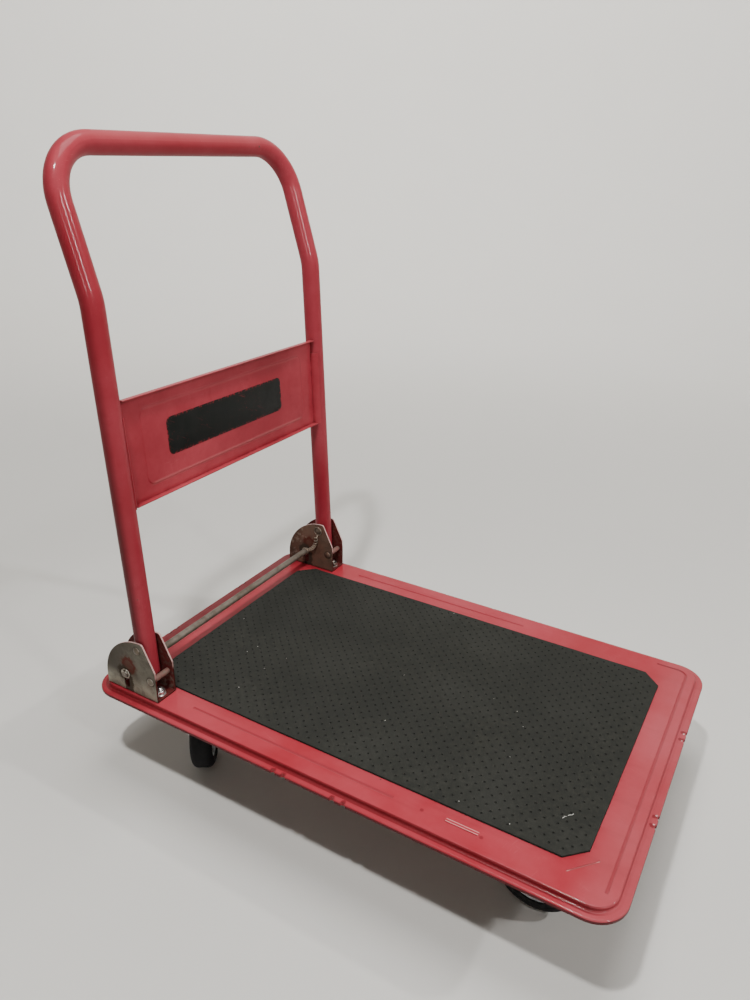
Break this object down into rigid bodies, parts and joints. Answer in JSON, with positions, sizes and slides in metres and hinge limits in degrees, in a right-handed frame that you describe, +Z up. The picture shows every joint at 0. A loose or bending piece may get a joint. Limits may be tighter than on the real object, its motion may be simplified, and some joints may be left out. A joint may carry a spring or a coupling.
{
  "type": "folding platform truck",
  "caption": "Flatbed hand truck with a red pressed steel deck, black rubber mat, fold-down tubular handle, and fixed and swivel casters.",
  "frame": {"origin": "on the floor under the middle of the deck", "axes": "+Z up, +X to the front, away from the handle, +Y to the left"},
  "size_m": [0.726, 0.48, 0.8295],
  "materials": {
    "red_paint": "worn coral red enamel",
    "mat_rubber": "matt dimpled",
    "bracket_steel": "dull plated, rusty",
    "bar_steel": "dull plated",
    "zinc_steel": "zinc plated",
    "tyre_rubber": "matt",
    "hub_plastic": "moulded"
  },
  "bodies": {
    "chassis": {"deck_pan": "red_paint", "deck_mat": "mat_rubber", "caster_rail_front": "red_paint", "caster_rail_rear": "red_paint", "deck_spine": "red_paint", "release_bar": "bar_steel", "hinge_bracket_left": "bracket_steel", "pivot_pin_left": "bracket_steel", "stop_pin_left": "bracket_steel", "latch_spring_left": "zinc_steel", "fixed_fork_left": "zinc_steel", "axle_front_left": "zinc_steel", "swivel_plate_left": "zinc_steel", "hinge_bracket_right": "bracket_steel", "pivot_pin_right": "bracket_steel", "stop_pin_right": "bracket_steel", "latch_spring_right": "zinc_steel", "fixed_fork_right": "zinc_steel", "axle_front_right": "zinc_steel", "swivel_plate_right": "zinc_steel"},
    "handle": {"handle_frame": "red_paint", "handle_panel": "red_paint"},
    "swivel_left": {"swivel_fork_left": "zinc_steel", "axle_rear_left": "zinc_steel"},
    "wheel_front_left": {"tyre_front_left": "tyre_rubber", "hub_front_left": "hub_plastic"},
    "wheel_rear_left": {"tyre_rear_left": "tyre_rubber", "hub_rear_left": "hub_plastic"},
    "swivel_right": {"swivel_fork_right": "zinc_steel", "axle_rear_right": "zinc_steel"},
    "wheel_front_right": {"tyre_front_right": "tyre_rubber", "hub_front_right": "hub_plastic"},
    "wheel_rear_right": {"tyre_rear_right": "tyre_rubber", "hub_rear_right": "hub_plastic"}
  },
  "joints": [
    {"name": "handle_fold", "type": "hinge", "parent": "chassis", "child": "handle", "pos_m": [-0.27664, 0, 0.2145], "axis": [0, 1, 0], "range_deg": [0, 98]},
    {"name": "swivel_turn_left", "type": "hinge", "parent": "chassis", "child": "swivel_left", "pos_m": [-0.253, 0.134, 0.11], "axis": [0, 0, 1], "continuous": true},
    {"name": "wheel_front_left_spin", "type": "hinge", "parent": "chassis", "child": "wheel_front_left", "pos_m": [0.253, 0.134, 0.05], "axis": [0, 1, 0], "continuous": true},
    {"name": "wheel_rear_left_spin", "type": "hinge", "parent": "swivel_left", "child": "wheel_rear_left", "pos_m": [-0.27715, 0.14047, 0.05], "axis": [-0.2588, -0.9659, 0], "continuous": true},
    {"name": "swivel_turn_right", "type": "hinge", "parent": "chassis", "child": "swivel_right", "pos_m": [-0.253, -0.134, 0.11], "axis": [0, 0, 1], "continuous": true},
    {"name": "wheel_front_right_spin", "type": "hinge", "parent": "chassis", "child": "wheel_front_right", "pos_m": [0.253, -0.134, 0.05], "axis": [0, 1, 0], "continuous": true},
    {"name": "wheel_rear_right_spin", "type": "hinge", "parent": "swivel_right", "child": "wheel_rear_right", "pos_m": [-0.23902, -0.15473, 0.05], "axis": [0.829, 0.5592, 0], "continuous": true}
  ]
}
